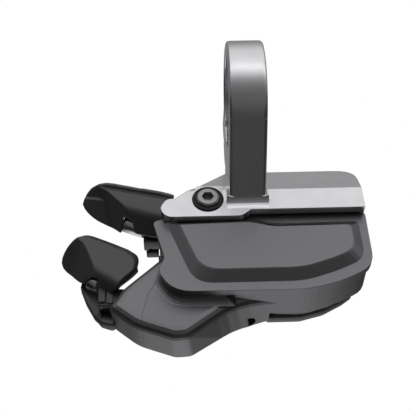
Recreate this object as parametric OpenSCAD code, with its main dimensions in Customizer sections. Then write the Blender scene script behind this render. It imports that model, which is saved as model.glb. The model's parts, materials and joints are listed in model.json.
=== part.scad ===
// Electronic two-paddle trigger shifter on a one-piece handlebar clamp bracket.
// Row frame: the origin is the centre of the clamp bore, X runs along the handlebar, Z is up.
// The housing lies in a tilted frame: u runs along the bar, v to the rear, w out of the cover.

/* [Handlebar clamp] */
// Diameter of the handlebar where the clamp sits
bar_d = 22.2; // [22.0:0.1:22.4]
// Wall thickness of the clamp ring
ring_wall = 2.9; // [2.5:0.1:3.2]
// Width of the clamp ring along the bar
ring_w = 8.6; // [8.0:0.1:9.0]
// Direction of the ring's split, below the horizontal
split_angle = 49; // [46:1:52]
// Opening of the split before the pinch bolt is tightened
split_gap = 1.6; // [1.2:0.1:2.0]

/* [Bracket] */
// Tilt of the cover's plane towards the front
cover_tilt = 25; // [23:1:27]
// Height of the bracket's front strip in the tilted frame
strip_w = -12.4; // [-12.6:0.1:-12.2]
// Thickness of the strip and its left wing
strip_t = 1.8; // [1.6:0.1:1.9]
// Length of the bracket to the right of the bar clamp
bracket_right = 27.2; // [26:0.1:28]

/* [Housing] */
// Height of the cover's rim in the tilted frame
rim_w = -15.2; // [-15.4:0.1:-15.0]
// Thickness of the top cover's rim
cover_t = 1.8; // [1.6:0.1:2.0]
// Height of the raised panel above the rim
panel_h = 2.0; // [1.5:0.1:2.0]
// Width of the panel's bevel
panel_bevel = 2.6; // [2.0:0.1:2.8]
// Height of the foot's top face
foot_w = -19.2; // [-19.5:0.1:-19.0]
// Height of the housing's lowest face, on the paddle side
floor_w = -29.8; // [-30.2:0.1:-29.4]
// Height of the shell's underside at the battery end
bay_w = -25.2; // [-25.4:0.1:-25.0]
// Wall thickness of the moulded shells
wall = 1.6; // [1.4:0.1:1.8]

/* [Battery] */
// Diameter of the coin cell
cell_d = 16; // [16:0.1:16]
// Thickness of the coin cell
cell_t = 3.2; // [3.0:0.1:3.2]

/* [Levers] */
// Radius of the pivot pins
pin_r = 1.25; // [1.2:0.05:1.3]
// Radial running clearance of the levers on their pins
pin_play = 0.04; // [0.02:0.01:0.08]
// Radius of the round posts that carry the paddles
post_r = 2.0; // [1.8:0.1:2.2]
// Wire diameter of the return springs
wire_d = 0.5; // [0.4:0.05:0.5]

/* [Hidden] */

$fn = 64;
far = 80;
bar_r = bar_d / 2;
ring_r = bar_r + ring_wall;
half_w = ring_w / 2;
deck_top = strip_w - strip_t;
cover_bottom = rim_w - cover_t;
shell_floor = floor_w + wall;
bay_floor = bay_w + wall;
door_w = -28.4;
board_w = -22.0;
board_t = 0.8;
touch = 0.02;

// The pinch bolt's distance from the bar axis and the ends of the split's lugs
pinch_y = 18.2;
lug_end = 22;

// Cap screw: M3 thread, 5.5 mm head, 2.5 mm hex socket
thread_r = 1.5;
head_r = 2.7;
head_h = 2.4;
hex_across = 2.5;
bolt_uv = [-9.3, -20.1];
counterbore_r = 3.65;

// Outlines in the tilted frame's u-v plane, anticlockwise
cover_corners = [[-16.4, -22.8], [-22.3, -24.2], [-19.5, -34.5], [-20.9, -38.2], [-18.2, -43.9],
    [12, -44.2], [20, -42], [27.4, -38.2], [27.6, -22.8]];
cover_cuts = [0.5, 1.2, 1, 1.2, 4.8, 4, 3, 3.5, 1];
panel_corners = [[-19.5, -24.4], [-13, -42.1], [11.5, -42.1], [18.8, -39.7], [25.9, -36.4],
    [25.8, -25.3], [5.6, -25.4], [1.2, -23.9]];
panel_cuts = [0.5, 4.2, 3, 2.6, 3.2, 1.2, 1.6, 1];
shell_corners = [[-9, -10.8], [-16.3, -17.6], [-16.3, -22.6], [-21.6, -24.4], [-19, -34.4],
    [-20.4, -38.2], [-17.7, -43.4], [12, -43.7], [19.8, -41.5], [26.9, -37.9], [27, -10.8]];
shell_cuts = [1.5, 1.5, 0.4, 1, 1, 1.2, 4.4, 4, 3, 3.5, 3.5];
inner_corners = [[-13.4, -24.4], [-19.9, -26], [-17.4, -34.4], [-18.8, -38.2], [-16.6, -41.8],
    [12, -42.1], [19.4, -40], [25.3, -37], [25.4, -24.4]];
inner_cuts = [0.5, 0.8, 1, 1, 2.6, 3, 2, 2, 1];

// Foot and nose, at the widest level and at the floor, with a concave blend into the side wall
foot_corners = concat([[-19.8, -30.4], [-29.2, -39.4], [-32.2, -44.4], [-26.2, -49.4], [-17.5, -52.7],
    [-14.6, -52.4]], [for (k = [0 : 5]) bend([-8, -47.5], [-3.4, -43.9], [6, -43.6], k / 5)], [[5, -33]]);
foot_base = concat([[-19.8, -31], [-28.6, -39.6], [-31.4, -44.2], [-25.8, -49], [-17.5, -52.2],
    [-14, -52]], [for (k = [0 : 5]) bend([-6.4, -47.2], [-2, -44.2], [6, -43.65], k / 5)], [[5, -33]]);
foot_cuts = [0.5, 1.2, 0.8, 2, 0.8, 0.8, 0.4, 0.4, 0.4, 0.4, 0.4, 0.4, 0.5];
foot_edge_r = 2.2;
seam = [[-20.8, -29], [-20.2, -33], [-22, -39.3], [-23.4, -41.9], [-24.7, -47.3], [-25.4, -56]];

door_corners = [[4.2, -22], [4.2, -43.3], [12, -43.4], [19.6, -41.2], [26.4, -37.6], [26.6, -22]];
door_base = [[4.6, -22.2], [5, -42], [12, -42.4], [18, -40.4], [22.4, -36.4], [23, -22.8]];
door_cuts = [0.8, 1, 2.4, 2, 2.4, 1.6];
door_screw_uv = [7.2, -24.7];
cell_uv = [14.2, -32.6];

// Pivots, lever posts and the travel of a paddle in degrees
upper_pivot = [-14, -24.9];
lower_pivot = [-20.4, -41.2];
hub_r = 3.2;
hub_top = -22.4;
hub_bottom = -26.2;
post_end = 4.6;
upper_post = [-24.6, -20.4, -22];
upper_post_turn = 157;
lower_post = [-33, -38.4, -22.6];
lower_post_turn = 149;

// A corner replaced by a quadratic curve that leaves each side at the cut length
function toward(a, b, d) = a + (b - a) * d / norm(b - a);
function bend(a, b, c, t) = (1 - t) * (1 - t) * a + 2 * t * (1 - t) * b + t * t * c;
function soft(p, cuts, n = 5) = [for (i = [0 : len(p) - 1])
    let (before = p[(i - 1 + len(p)) % len(p)], after = p[(i + 1) % len(p)])
    for (k = [0 : n]) bend(toward(p[i], before, cuts[i]), p[i], toward(p[i], after, cuts[i]), k / n)];

// An outline moved outwards by d, for anticlockwise corners
function side_normal(a, b) = [(b - a)[1], -(b - a)[0]] / norm(b - a);
function grown(p, d) = [for (i = [0 : len(p) - 1])
    let (m = side_normal(p[(i - 1 + len(p)) % len(p)], p[i]), n = side_normal(p[i], p[(i + 1) % len(p)]))
    p[i] + d * (m + n) / (1 + m * n)];

// Outline part of the way from one to another with as many points
function between(p, q, t) = [for (i = [0 : len(p) - 1]) (1 - t) * p[i] + t * q[i]];

// A solid through a stack of outlines of equal count, each one [height, points], from the top down
module loft(levels) {
    n = len(levels[0][1]);
    top = len(levels) - 1;
    points = [for (level = levels) for (p = level[1]) [p[0], p[1], level[0]]];
    sides = [for (k = [0 : top - 1]) for (i = [0 : n - 1])
        [k * n + i, k * n + (i + 1) % n, (k + 1) * n + (i + 1) % n, (k + 1) * n + i]];
    polyhedron(points, concat([[for (i = [n - 1 : -1 : 0]) i]], sides,
        [[for (i = [0 : n - 1]) top * n + i]]), convexity = 6);
}

// The tilted frame of the cover and the housing
module tilted() {
    rotate([cover_tilt, 0, 0]) children();
}

// A plate with an outline in the u-v plane, between two heights
module slab(points, low, high) {
    translate([0, 0, low]) linear_extrude(high - low, convexity = 6) polygon(points);
}

// A bar with an outline in the front view, u and w, between two v positions
module front_bar(points, front, back) {
    translate([0, back, 0]) rotate([90, 0, 0]) linear_extrude(back - front) polygon(points);
}

// A bar with an outline in the side view, v and w, between two u positions
module side_bar(points, left, right) {
    translate([left, 0, 0]) rotate([90, 0, 90]) linear_extrude(right - left) polygon(points);
}

module rod(r, low, high) {
    translate([0, 0, low]) cylinder(r = r, h = high - low);
}

// A socket head cap screw: its head stands from z = 0 up, its shank runs down
module cap_screw(shank) {
    difference() {
        union() {
            rotate_extrude() polygon([[0, 0], [head_r, 0], [head_r, head_h - 0.4],
                [head_r - 0.4, head_h], [0, head_h]]);
            rod(thread_r, -shank, 0.1);
        }
        translate([0, 0, head_h - 1.5]) cylinder(r = hex_across / 2 / cos(30), h = 2, $fn = 6);
    }
}

// A small pan head screw with a cross recess, head down at z = 0 and shank up
module small_screw(r, length, head) {
    difference() {
        union() {
            rotate_extrude() polygon([[0, 0], [head - 0.3, 0], [head, 0.3], [head, 0.9], [0, 0.9]]);
            rod(r, 0.8, length);
        }
        for (turn = [0, 90]) rotate(turn) translate([-head * 0.6, -0.2, -0.1]) cube([head * 1.2, 0.4, 0.6]);
    }
}

// The frame of the ring's split: y runs out along the split, z across it
module at_split() {
    rotate([-split_angle, 0, 0]) children();
}

// Ring around the handlebar with rounded rims
module clamp_ring() {
    profile = soft([[bar_r, -half_w], [ring_r, -half_w], [ring_r, half_w], [bar_r, half_w]],
        [0.3, 0.9, 0.9, 0.3], 3);
    rotate([0, 90, 0]) rotate_extrude($fn = 96) polygon(profile);
}

// The flat flange that runs down from the ring's front to the plate
module flange() {
    translate([0, 0, -21]) linear_extrude(21) polygon(soft([[-half_w, -ring_r], [half_w, -ring_r],
        [half_w, -7], [-half_w, -7]], [0.8, 0.8, 0.2, 0.2], 3));
    translate([-half_w, -ring_r + 1, -21]) cube([ring_w, 18, 10]);
}

module split_lug(low, high) {
    slab(soft([[-half_w, 11.8], [half_w, 11.8], [half_w, lug_end], [-half_w, lug_end]],
        [0.1, 0.1, 2, 2], 4), low, high);
}

// Section of strip and plate: a strip parallel to the cover, then a level plate
strip_rear = -17.4;
plate_rear = -8.1;
deck_section = [[-23.4, deck_top], [-20.6, deck_top], [-9.3, -19.3], [plate_rear, -16.7],
    [strip_rear, strip_w], [-23.4, strip_w]];
plate_plan = soft([[bracket_right, -40], [bracket_right, -0.3], [-half_w, -0.3], [-12, -8.9],
    [-18.6, -13.8], [-18.6, -14.8], [0.4, -14.8], [0.4, -40]], [0, 5, 1, 1, 0.3, 0.3, 0, 0], 6);
wing_plan = soft([[0.6, -16], [-14.9, -16], [-14.9, -19.7], [-18.9, -19.7], [-20.6, -22.4],
    [-19.2, -25.2], [-1.6, -25.2], [0.6, -23.4]], [0, 0.4, 0.6, 1, 1.2, 1.8, 1, 0.6], 4);

module bracket_plate() {
    intersection() {
        tilted() side_bar(deck_section, -20, bracket_right);
        translate([0, 0, -40]) linear_extrude(40) polygon(plate_plan);
    }
    tilted() difference() {
        slab(wing_plan, deck_top, strip_w);
        translate([0, 0, deck_top - 1]) linear_extrude(5) polygon([[-16, -19.7], [-16, -15],
            [-11.2, -15], [-13, -18.2], [-14.2, -19.7]]);
    }
    tilted() slab([[bracket_right - 0.9, -23.35], [bracket_right - 0.05, -23.35],
        [bracket_right - 0.05, -22.85], [bracket_right - 0.9, -22.85]], rim_w + 0.1, deck_top + 0.5);
}

// Concave fillet where the flange's front meets the strip
module flange_fillet() {
    foot_y = -ring_r;
    strip_z = (strip_w + foot_y * sin(cover_tilt)) / cos(cover_tilt);
    reach = 1.8;
    corner = [foot_y, strip_z];
    up = [foot_y, strip_z + reach];
    out = corner - reach * [cos(cover_tilt), sin(cover_tilt)];
    side_bar(concat([corner + [1, -1]], [for (k = [0 : 5]) bend(up, corner, out, k / 5)],
        [out + [0.3, -0.5]]), -half_w - 0.6, half_w + 0.6);
    for (side = [0, 1]) mirror([side, 0, 0]) translate([half_w, 0, 0])
        tilted() front_bar(concat([[-1, strip_w - 0.5]],
            [for (k = [0 : 5]) bend([1.4, strip_w], [0, strip_w], [0, strip_w + 1.4], k / 5)],
            [[-1, strip_w + 1.4]]), strip_rear - 3.4, strip_rear);
}

module clamp_bracket() color("silver") {
    difference() {
        union() {
            clamp_ring();
            flange();
            bracket_plate();
            flange_fillet();
            at_split() {
                split_lug(-6.4, -split_gap / 2);
                split_lug(split_gap / 2, 5.2);
            }
        }
        rotate([0, 90, 0]) cylinder(r = bar_r, h = far, center = true, $fn = 96);
        at_split() {
            translate([-half_w - 1, 9, -split_gap / 2]) cube([ring_w + 2, 20, split_gap]);
            translate([0, pinch_y, 0]) rod(thread_r + touch, -8, 6);
            translate([0, pinch_y, 0]) rod(head_r + 0.3, 4.2, 8);
        }
        tilted() translate([bolt_uv[0], bolt_uv[1], 0]) {
            rod(thread_r + touch, -30, strip_w + 1);
            rod(counterbore_r, strip_w - 1.3, strip_w + 1);
        }
        tilted() slab([[-30, -40], [30, -40], [30, -5], [-30, -5]], -40, -19.6);
    }
}

module pinch_bolt() color("dimgray") {
    at_split() translate([0, pinch_y, 4.2]) cap_screw(10);
}

module bracket_bolt() color("gray") {
    tilted() translate([bolt_uv[0], bolt_uv[1], strip_w - 1.3]) cap_screw(8);
}

nut_w = -19.6;
nut_half = 2.75;

// Square nut in a pocket of the lower shell
module bracket_nut() color("goldenrod") {
    tilted() difference() {
        translate([bolt_uv[0] - nut_half, bolt_uv[1] - nut_half, nut_w]) cube([5.5, 5.5, 1.8]);
        translate([bolt_uv[0], bolt_uv[1], 0]) rod(thread_r + touch, -30, -10);
    }
}

screw_uv = [[-12.6, -37.2], [-4.2, -39.9], [23.2, -26.6]];

module top_cover() color("dimgray") {
    tilted() difference() {
        union() {
            slab(soft(cover_corners, cover_cuts), cover_bottom, rim_w);
            loft([[rim_w + panel_h, soft(grown(panel_corners, -panel_bevel), panel_cuts)],
                [rim_w + panel_h - 0.2, soft(grown(panel_corners, 0.3 - panel_bevel), panel_cuts)],
                [rim_w - 0.5, soft(grown(panel_corners, 0.4), panel_cuts)]]);
            for (p = screw_uv) translate([p[0], p[1], 0]) rod(1.7, cover_bottom - 2.4, cover_bottom + 1);
        }
        slab(soft(grown(panel_corners, -panel_bevel - 1.2), 0.6 * panel_cuts),
            cover_bottom - 0.1, rim_w + 0.6);
        for (p = screw_uv) translate([p[0], p[1], 0]) rod(0.8 + touch, cover_bottom - 3, rim_w - 0.4);
    }
}

module cover_gasket() color("black") {
    tilted() difference() {
        slab(soft(grown(inner_corners, 0.95), inner_cuts), cover_bottom - 0.6, cover_bottom);
        slab(soft(grown(inner_corners, 0.35), inner_cuts), cover_bottom - 1, cover_bottom + 1);
    }
}

// Front view of the floor: level on the paddle side, then up a slope and a step to the battery bay
floor_front = [[-40, floor_w], [-3.4, floor_w], [4, -28.2], [4, bay_w], [30, bay_w], [30, -10], [-40, -10]];

// Levels of the foot and nose from the rounded top edge down to the floor
foot_levels = concat(
    [for (k = [0 : 4]) let (a = 90 * k / 4) [foot_w - foot_edge_r * (1 - cos(a)),
        soft(grown(foot_corners, -foot_edge_r * (1 - sin(a))), foot_cuts, 3)]],
    [[floor_w + 0.6, soft(between(foot_corners, foot_base, 0.9), foot_cuts, 3)],
     [floor_w, soft(grown(foot_base, -0.6), foot_cuts, 3)]]);

module foot_solid() {
    intersection() {
        loft(foot_levels);
        front_bar(floor_front, -60, 0);
    }
}

// Concave fillet from the foot's top face up to the wall below the cover
fillet_line = [[-19.4, -33.4], [-19.2, -36], [-20.5, -38.2], [-17.8, -43.5], [-6, -43.6], [-6, -34]];
module foot_fillet() {
    r = cover_bottom - 0.1 - foot_w;
    difference() {
        translate([0, 0, -0.06]) loft([for (k = [0 : 5]) let (a = 90 * k / 5) [foot_w + r * (1 - sin(a)),
            soft(grown(fillet_line, r * (1 - cos(a))), [0.5, 1, 1.2, 4, 0.5, 0.5], 4)]]);
        left_of_seam();
    }
}

foot_room = [[-18, -33], [-22, -37.4], [-28.6, -41.4], [-29.8, -44], [-25.4, -47.6], [-17.2, -50.8],
    [-15, -50.6], [-7, -45], [-6, -38]];

// Room inside the foot and nose for the lower lever
module foot_cavity() {
    slab(soft(foot_room, [1, 1, 1, 1, 1, 1, 1, 1, 1], 3), shell_floor, foot_w - wall);
}

// Way out of the nose for the lower lever, on the side away from the cover
module lower_lever_window() {
    slab([[-36, -43.4], [-28, -43.4], [-22, -40], [-22, -35.6], [-36, -35.6]], hub_bottom - 0.8, -20.9);
}

module left_of_seam() {
    slab(concat(seam, [[-40, -56], [-40, -30]]), -35, -10);
}

module shell_block() {
    side = [[-60, cover_bottom], [-22.75, cover_bottom], [-22.75, deck_top - touch],
        [-20.6, deck_top - touch], [-9.3, -19.3 - touch], [-9.3, -22.6], [-18, floor_w], [-60, floor_w]];
    intersection() {
        slab(soft(shell_corners, shell_cuts), floor_w - 1, -12);
        side_bar(side, -30, 30);
        front_bar(floor_front, -60, 0);
    }
}

module shell_cavity() {
    front = [[-30, shell_floor], [-3, shell_floor], [2.4, -26.8], [2.4, bay_floor], [30, bay_floor],
        [30, -10], [-30, -10]];
    intersection() {
        slab(soft(inner_corners, inner_cuts), shell_floor, -10);
        front_bar(front, -60, 0);
    }
    foot_cavity();
}

// Opening in the left wall for the upper lever
module upper_lever_window() {
    slab([[-30, -26.2], [-13, -28], [-11, -21.4], [-13, -20], [-18, -16.4], [-30, -16.4]],
        shell_floor, -20.9);
    translate([upper_pivot[0], upper_pivot[1], 0]) rod(hub_r + 0.8, shell_floor, -20.9);
}

board_posts = [[0.4, -27.5, -28.4], [23.4, -35.6, -24], [0.4, -38, -28.4]];

// Tab on the shell's floor that the nose cap is screwed to
nose_screw_uv = [-26.2, -44.6];
module nose_tab() {
    difference() {
        slab([[-27.8, -45.4], [-25.2, -47.2], [-19, -49], [-19, -45], [-24, -44], [-27.8, -43]],
            shell_floor, shell_floor + 1.5);
        translate([lower_pivot[0], lower_pivot[1], 0]) rod(4.2, -40, -20);
    }
}

module lower_shell() color("gray") {
    tilted() difference() {
        union() {
            difference() {
                union() {
                    shell_block();
                    foot_fillet();
                    difference() {
                        foot_solid();
                        left_of_seam();
                    }
                }
                shell_cavity();
                upper_lever_window();
                lower_lever_window();
            }
            for (p = board_posts) translate([p[0], p[1], 0]) rod(1.4, p[2], board_w);
            nose_tab();
            for (p = [upper_pivot, lower_pivot]) translate([p[0], p[1], 0])
                rod(2.1, floor_w + 0.5, hub_bottom - 0.1);
            translate([lower_pivot[0], lower_pivot[1], 0]) rod(2.2, hub_top + 0.3, foot_w - 0.5);
            translate([upper_pivot[0], upper_pivot[1], 0]) rod(2.2, hub_top + 0.3, cover_bottom);
            translate([upper_pivot[0] - 2.2, upper_pivot[1], hub_top + 0.3]) cube([4.4, 4, 5.1]);
            for (p = screw_uv) translate([p[0], p[1], 0])
                rod(2, p[0] < 0 ? floor_w : bay_w, cover_bottom - 2.42);
        }
        for (p = [upper_pivot, lower_pivot]) translate([p[0], p[1], 0]) rod(pin_r + touch, -29.2, -20.2);
        for (p = screw_uv) translate([p[0], p[1], 0]) {
            rod(0.95, -40, cover_bottom);
            rod(1.7, -40, (p[0] < 0 ? floor_w : bay_w) + 1);
        }
        translate([bolt_uv[0], bolt_uv[1], 0]) rod(thread_r + 0.2, -24.4, -10);
        translate([bolt_uv[0] - nut_half - 0.05, bolt_uv[1] - nut_half - 0.05, nut_w - 0.02])
            cube([5.6, 5.6, 1.84]);
        translate([nose_screw_uv[0], nose_screw_uv[1], 0]) rod(0.9 + touch, -30, shell_floor + 2);
        translate([cell_uv[0], cell_uv[1], 0]) rod(cell_d / 2 + 0.4, -30, bay_floor + 0.01);
        translate([-0.6, -44.6, -27.4]) rotate([-90, 0, 0]) cylinder(r = 1.5, h = 2.4);
        translate([door_screw_uv[0], door_screw_uv[1], 0]) rod(0.8 + touch, bay_w - 1, bay_w + 1.4);
        cover_gasket_groove();
    }
}

module cover_gasket_groove() {
    difference() {
        slab(soft(grown(inner_corners, 0.97), inner_cuts), cover_bottom - 0.62, cover_bottom + 0.1);
        slab(soft(grown(inner_corners, 0.33), inner_cuts), cover_bottom - 1, cover_bottom + 1);
    }
}

module nose_cap() color("dimgray") {
    tilted() difference() {
        intersection() {
            foot_solid();
            left_of_seam();
        }
        foot_cavity();
        lower_lever_window();
        translate([nose_screw_uv[0], nose_screw_uv[1], 0]) {
            rod(0.95, -40, shell_floor + 1);
            rod(1.6, -40, floor_w + 0.9);
        }
    }
}

module nose_cap_screw() color("silver") {
    tilted() translate([nose_screw_uv[0], nose_screw_uv[1], floor_w]) small_screw(0.9, 2.9, 1.5);
}

module cover_screws() color("silver") {
    tilted() for (p = screw_uv)
        translate([p[0], p[1], (p[0] < 0 ? floor_w : bay_w) + 0.1])
            small_screw(0.8, (p[0] < 0 ? 12.4 : 7.4), 1.6);
}

board_plan = [[-9, -25.2], [-9, -33], [-11.4, -36], [-11.4, -40], [-16, -44], [-16, -47.6], [-11, -47.6],
    [-9, -42], [-3, -41.6], [13.6, -41.4], [21.2, -38.4], [24.6, -36], [24.6, -25.2]];

module circuit_board() color("darkgreen") {
    tilted() {
        difference() {
            slab(board_plan, board_w, board_w + board_t);
            for (p = screw_uv) translate([p[0], p[1], 0]) rod(2.4, -30, -10);
        }
        translate([-4, -36, board_w + board_t]) cube([7, 7, 1]);
        translate([7, -32, board_w + board_t]) cube([4, 5, 1.2]);
        translate([14, -38, board_w + board_t]) cube([3, 3, 0.8]);
    }
}

// Side-acting micro switch hung under the board, its plunger pointing to the rear
module side_switch(u, v) {
    tilted() {
        translate([u - 2, v - 1.6, board_w - 3.8]) cube([4, 1.6, 3.8 - touch]);
        translate([u, v - 0.1, board_w - 1.9]) rotate([-90, 0, 0]) cylinder(r = 0.8, h = 0.75, $fn = 32);
    }
}

upper_switch_uv = [-7.4, -28.9];
lower_switch_uv = [-13.6, -43.6];

module upper_switch() color("gold") {
    side_switch(upper_switch_uv[0], upper_switch_uv[1]);
}

module lower_switch() color("gold") {
    side_switch(lower_switch_uv[0], lower_switch_uv[1]);
}

module battery_door() color("dimgray") {
    tilted() difference() {
        loft([[bay_w - touch, soft(door_corners, door_cuts, 4)],
            [bay_w - 0.8, soft(between(door_corners, door_base, 0.12), door_cuts, 4)],
            [bay_w - 2, soft(between(door_corners, door_base, 0.5), door_cuts, 4)],
            [door_w + 0.3, soft(between(door_corners, door_base, 0.9), door_cuts, 4)],
            [door_w, soft(grown(door_base, -0.5), door_cuts, 4)]]);
        translate([cell_uv[0], cell_uv[1], 0]) {
            rod(cell_d / 2 + 0.2, door_w + 0.8, -20);
            difference() {
                rod(9.4, bay_w - 0.8, -20);
                rod(8.6, -40, -10);
            }
        }
        translate([door_screw_uv[0], door_screw_uv[1], 0]) {
            rod(0.9, -40, -20);
            rod(1.45, -40, bay_w - 1.5);
        }
    }
}

module battery_door_screw() color("silver") {
    tilted() translate([door_screw_uv[0], door_screw_uv[1], bay_w - 2.4]) small_screw(0.8, 3.6, 1.4);
}

module battery_seal() color("black") {
    tilted() translate([cell_uv[0], cell_uv[1], bay_w - 0.42]) rotate_extrude() translate([9, 0])
        circle(r = 0.38, $fn = 24);
}

module battery_cell() color("silver") {
    tilted() translate([cell_uv[0], cell_uv[1], door_w + 0.82]) rotate_extrude() polygon([[0, 0],
        [cell_d / 2 - 1.6, 0], [cell_d / 2 - 1.4, 0.3], [cell_d / 2 - 0.2, 0.3], [cell_d / 2, 0.5],
        [cell_d / 2, cell_t - 0.2], [cell_d / 2 - 0.2, cell_t], [0, cell_t]]);
}

// Leaf spring that rests on the shell floor beside the cell and dips to its top
module battery_contact() color("gold") {
    top = door_w + 0.82 + cell_t;
    tilted() front_bar([[4.6, bay_floor + 0.02], [6, bay_floor + 0.02], [12.2, top + 0.02],
        [16.2, top + 0.02], [22.4, bay_floor + 0.02], [23.8, bay_floor + 0.02], [23.8, bay_floor + 0.24], [22.5, bay_floor + 0.24],
        [16.3, top + 0.24], [12.1, top + 0.24], [5.9, bay_floor + 0.24], [4.6, bay_floor + 0.24]],
        cell_uv[1] - 1.5, cell_uv[1] + 1.5);
}

// Pivot pin with a rounded top end
module pivot_pin(p) {
    tilted() translate([p[0], p[1], 0]) rotate_extrude() polygon([[0, -29.2], [pin_r, -29.2],
        [pin_r, -20.7], [pin_r - 0.4, -20.3], [0, -20.3]]);
}

module upper_pivot_pin() color("silver") {
    pivot_pin(upper_pivot);
}

module lower_pivot_pin() color("silver") {
    pivot_pin(lower_pivot);
}

// Place of a paddle's clamp screw, up through the post
function along_post(at, turn, run) = at + run * [cos(turn), sin(turn), 0];
upper_screw = along_post(upper_post, upper_post_turn, 3.2) - [0, 0, 2.5];
lower_screw = along_post(lower_post, lower_post_turn, 3) - [0, 0, 2.5];
module screw_way(at) {
    translate(at) rod(0.92, 0, 5.3);
    translate(at) rod(1.55, -3, 0.92);
}

// Round post that a paddle is clamped on, its axis level in the tilted frame
module post(at, turn) {
    translate(at) rotate([0, 90, turn]) translate([0, 0, -1]) rotate_extrude() polygon([[0, 0],
        [post_r, 0], [post_r, post_end + 0.7], [post_r - 0.3, post_end + 1], [0, post_end + 1]]);
}

// Bore of a paddle for the post, open towards the housing
module post_bore(at, turn) {
    translate(at) rotate([0, 90, turn]) translate([0, 0, -8])
        cylinder(r = post_r + touch, h = 8 + post_end + 1.2);
}

module upper_lever() color("dimgray") {
    p = upper_pivot;
    tilted() difference() {
        union() {
            translate([p[0], p[1], 0]) rod(hub_r, hub_bottom, hub_top);
            slab([[p[0], p[1] - 2], [p[0], p[1] + 3], [-21, -18.6], [-25, -18.6], [-25, -24.4],
                [-20, -24.6]], hub_bottom + 0.6, hub_top);
            slab([[-24.8, -24.4], [-21.6, -24.4], [-21.6, -19.4], [-24.8, -19.4]], -28.8, hub_top);
            slab([[p[0] + 1, p[1] - 2.6], [-6, -27.2], [-6, -25.4], [p[0] + 1, p[1] + 1]], -25.4, -22.8);
            post(upper_post, upper_post_turn);
        }
        translate([p[0], p[1], 0]) rod(pin_r + pin_play, -40, -10);
        slab([[-26, -25], [-22, -25], [-22, -20.4], [-26, -20.4]], hub_bottom - 0.4, hub_bottom + 0.5);
        translate([-23.4, -25, -25]) cube([0.5, 1, 4]);
        screw_way(upper_screw);
    }
}

module lower_lever() color("dimgray") {
    p = lower_pivot;
    tilted() difference() {
        union() {
            translate([p[0], p[1], 0]) rod(hub_r, hub_bottom, hub_top);
            slab([[p[0], p[1] - 1.6], [p[0], p[1] + 2.6], [-33.6, -37.4], [-35, -40], [-35, -42.4],
                [-31.2, -42.4]], hub_bottom + 0.6, hub_top);
            slab([[-35, -43.4], [-32.4, -43.4], [-31.8, -42.2], [-31.8, -38.4], [-35, -38.4]],
                -28.6, hub_top + 1.4);
            slab([[p[0] + 1, p[1] - 2], [-13, -42], [-13, -40.2], [p[0] + 1, p[1] + 1.6]], -25.4, -22.8);
            post(lower_post, lower_post_turn);
        }
        translate([p[0], p[1], 0]) rod(pin_r + pin_play, -40, -10);
        slab([[-37, -44], [-33, -44], [-33, -39.4], [-37, -39.4]], -25.6, -24.8);
        screw_way(lower_screw);
    }
}

// Points of a torsion spring: a leg, the coil about the pin and a second leg
coil_r = 2.45;
coil_turns = 2.5;
function coil_points(p, turn) = concat(
    [[p[0], p[1], hub_bottom - 0.35] + coil_r * [cos(turn), sin(turn), 0]
        + 2.6 * [sin(turn), -cos(turn), 0]],
    [for (k = [0 : 16 * coil_turns]) let (a = turn + k * 22.5)
        [p[0] + coil_r * cos(a), p[1] + coil_r * sin(a), hub_bottom - 0.35 - 0.52 * k / 16]],
    [let (a = turn + 360 * coil_turns) [p[0] + coil_r * cos(a), p[1] + coil_r * sin(a),
        hub_bottom - 0.35 - 0.52 * coil_turns] + 2.6 * [-sin(a), cos(a), 0]]);

// A round wire swept along points that lie nearly level
module wire(path, d, sides = 8) {
    last = len(path) - 1;
    points = [for (i = [0 : last]) let (
        run = path[min(i + 1, last)] - path[max(i - 1, 0)],
        t = run / norm(run),
        side = cross(t, [0, 0, 1]) / norm(cross(t, [0, 0, 1])),
        up = cross(side, t))
        for (k = [0 : sides - 1]) let (a = 360 * k / sides)
            path[i] + d / 2 * (cos(a) * side + sin(a) * up)];
    skin = [for (i = [0 : last - 1]) for (k = [0 : sides - 1]) let (next = (k + 1) % sides)
        [i * sides + k, i * sides + next, (i + 1) * sides + next, (i + 1) * sides + k]];
    polyhedron(points, concat([[for (k = [sides - 1 : -1 : 0]) k]], skin,
        [[for (k = [0 : sides - 1]) last * sides + k]]), convexity = 8);
}

module upper_return_spring() color("silver") {
    tilted() wire(coil_points(upper_pivot, 60), wire_d);
}

module lower_return_spring() color("silver") {
    tilted() wire(coil_points(lower_pivot, 60), wire_d);
}

// Frame of a thumb plate: x runs along it, y up its face and z out of the face
module leaning(origin, turn, lean) {
    translate(origin) rotate([0, 0, turn]) rotate([90 - lean, 0, 0]) children();
}

// A thumb plate with rounded edges and a shallow dish in its face, as levels of [height, inset]
module thumb_plate(corners, cuts) {
    loft([for (step = [[-0.4, -1.6], [-0.1, -1], [-0.12, -0.6], [-0.9, 0], [-plate_t, -0.5]])
        [step[0], soft(grown(corners, step[1]), cuts, 2)]]);
}

// A hood between a top and a base outline, its top edge rounded
module hood(top, base, cuts, high, low) {
    loft([for (step = [[high, -0.7, 0], [high - 0.2, -0.25, 0.1], [high - 0.8, 0, 0.2], [low, 0, 1]])
        [step[0], soft(grown(between(top, base, step[2]), step[1]), cuts, 3)]]);
}

plate_t = 3;

upper_plate = [[-4, 0.4], [-7.1, -4.8], [-4.7, -9.2], [3.3, -11.6], [7.6, -6.4], [9.3, -0.9]];
upper_hood_top = [[-33.7, -14.1], [-26.7, -22.5], [-23, -22.9], [-19, -21.4], [-18.6, -17.2]];
upper_hood_base = [[-31.6, -15.9], [-26.9, -21.4], [-23.2, -22], [-19.4, -21], [-19, -17.8]];

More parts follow.
